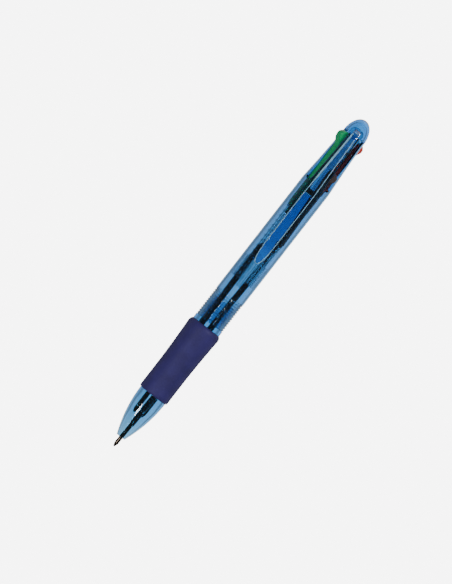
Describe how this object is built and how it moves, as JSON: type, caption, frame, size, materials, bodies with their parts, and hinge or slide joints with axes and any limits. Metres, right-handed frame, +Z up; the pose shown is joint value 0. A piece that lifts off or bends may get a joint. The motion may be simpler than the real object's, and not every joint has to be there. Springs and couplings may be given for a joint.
{
  "type": "multicolour click pen",
  "caption": "Slim clear pen with a rubber grip, a long clip and colour sliders that push refill points out of the nose.",
  "frame": {"origin": "middle of the pen's box, on the surface it lies on", "axes": "+X along the pen towards the cap, +Z up through the clip, +Y to the left seen with the cap away"},
  "size_m": [0.1483, 0.0134, 0.0147],
  "materials": {
    "clear_blue": "clear light blue injection-moulded plastic, glossy",
    "clip_blue": "clear deep blue injection-moulded plastic, glossy",
    "core_blue": "dark translucent blue plastic",
    "grip_rubber": "matte navy rubber with a faint sheen",
    "frosted_plastic": "natural translucent plastic",
    "slider_black": "satin black plastic",
    "slider_green": "satin green plastic",
    "slider_red": "satin orange-red plastic",
    "slider_blue": "satin blue plastic",
    "spring_steel": "bright spring wire",
    "refill_plastic": "clear refill tube",
    "ink_black": "black ink",
    "ink_green": "dark green ink",
    "ink_red": "dark red ink",
    "ink_blue": "dark blue ink",
    "point_metal": "bright nickel silver, slightly bronze",
    "carbide": "polished carbide ball"
  },
  "bodies": {
    "barrel": {"lower_barrel": "clear_blue", "grip_sleeve": "grip_rubber", "upper_barrel": "clear_blue", "cap_with_clip": "clip_blue", "guide_block": "frosted_plastic", "latch_core": "core_blue"},
    "carriage_black": {"return_spring_black": "spring_steel"},
    "slider_black": {"slider_black": "slider_black"},
    "refill_black": {"refill_tube_black": "refill_plastic", "ink_black": "ink_black", "point_black": "point_metal", "writing_ball_black": "carbide"},
    "carriage_green": {"return_spring_green": "spring_steel"},
    "slider_green": {"slider_green": "slider_green"},
    "refill_green": {"refill_tube_green": "refill_plastic", "ink_green": "ink_green", "point_green": "point_metal", "writing_ball_green": "carbide"},
    "carriage_red": {"return_spring_red": "spring_steel"},
    "slider_red": {"slider_red": "slider_red"},
    "refill_red": {"refill_tube_red": "refill_plastic", "ink_red": "ink_red", "point_red": "point_metal", "writing_ball_red": "carbide"},
    "carriage_blue": {"return_spring_blue": "spring_steel"},
    "slider_blue": {"slider_blue": "slider_blue"},
    "refill_blue": {"refill_tube_blue": "refill_plastic", "ink_blue": "ink_blue", "point_blue": "point_metal", "writing_ball_blue": "carbide"}
  },
  "joints": [
    {"name": "black_slide", "type": "slide", "parent": "barrel", "child": "carriage_black", "axis": [-1, 0, 0], "range_m": [-0.0144, 0], "deforming": ["return_spring_black"]},
    {"name": "black_drop", "type": "hinge", "parent": "carriage_black", "child": "slider_black", "pos_m": [0.01725, -0.00244, 0.00914], "axis": [0, 0.7071, 0.7071], "range_deg": [-2.5, 0]},
    {"name": "black_steer", "type": "hinge", "parent": "carriage_black", "child": "refill_black", "pos_m": [0.01725, -0.00244, 0.00914], "axis": [0, -0.7071, -0.7071], "range_deg": [-1.44, 0], "deforming": ["refill_tube_black", "ink_black", "point_black", "writing_ball_black"]},
    {"name": "green_slide", "type": "slide", "parent": "barrel", "child": "carriage_green", "axis": [-1, 0, 0], "range_m": [0, 0.0144], "stiffness_N_per_m": 40, "springref_m": -0.008, "deforming": ["return_spring_green"]},
    {"name": "green_drop", "type": "hinge", "parent": "carriage_green", "child": "slider_green", "pos_m": [0.03165, 0.00244, 0.00914], "axis": [0, 0.7071, -0.7071], "range_deg": [0, 2.5]},
    {"name": "green_steer", "type": "hinge", "parent": "carriage_green", "child": "refill_green", "pos_m": [0.03165, 0.00244, 0.00914], "axis": [0, -0.7071, 0.7071], "range_deg": [0, 1.44], "deforming": ["refill_tube_green", "ink_green", "point_green", "writing_ball_green"]},
    {"name": "red_slide", "type": "slide", "parent": "barrel", "child": "carriage_red", "axis": [-1, 0, 0], "range_m": [0, 0.0144], "stiffness_N_per_m": 40, "springref_m": -0.008, "deforming": ["return_spring_red"]},
    {"name": "red_drop", "type": "hinge", "parent": "carriage_red", "child": "slider_red", "pos_m": [0.03165, -0.00244, 0.00426], "axis": [0, -0.7071, 0.7071], "range_deg": [0, 2.5]},
    {"name": "red_steer", "type": "hinge", "parent": "carriage_red", "child": "refill_red", "pos_m": [0.03165, -0.00244, 0.00426], "axis": [0, 0.7071, -0.7071], "range_deg": [0, 1.44], "deforming": ["refill_tube_red", "ink_red", "point_red", "writing_ball_red"]},
    {"name": "blue_slide", "type": "slide", "parent": "barrel", "child": "carriage_blue", "axis": [-1, 0, 0], "range_m": [0, 0.0144], "stiffness_N_per_m": 40, "springref_m": -0.008, "deforming": ["return_spring_blue"]},
    {"name": "blue_drop", "type": "hinge", "parent": "carriage_blue", "child": "slider_blue", "pos_m": [0.03165, 0.00244, 0.00426], "axis": [0, -0.7071, -0.7071], "range_deg": [0, 2.5]},
    {"name": "blue_steer", "type": "hinge", "parent": "carriage_blue", "child": "refill_blue", "pos_m": [0.03165, 0.00244, 0.00426], "axis": [0, 0.7071, 0.7071], "range_deg": [0, 1.44], "deforming": ["refill_tube_blue", "ink_blue", "point_blue", "writing_ball_blue"]}
  ],
  "couplings": [
    {"joint": "black_drop", "follows": "black_slide", "rad_per_m": 3.0301},
    {"joint": "black_steer", "follows": "black_slide", "rad_per_m": 1.7444},
    {"joint": "green_drop", "follows": "green_slide", "rad_per_m": 3.0301},
    {"joint": "green_steer", "follows": "green_slide", "rad_per_m": 1.7444},
    {"joint": "red_drop", "follows": "red_slide", "rad_per_m": 3.0301},
    {"joint": "red_steer", "follows": "red_slide", "rad_per_m": 1.7444},
    {"joint": "blue_drop", "follows": "blue_slide", "rad_per_m": 3.0301},
    {"joint": "blue_steer", "follows": "blue_slide", "rad_per_m": 1.7444}
  ]
}
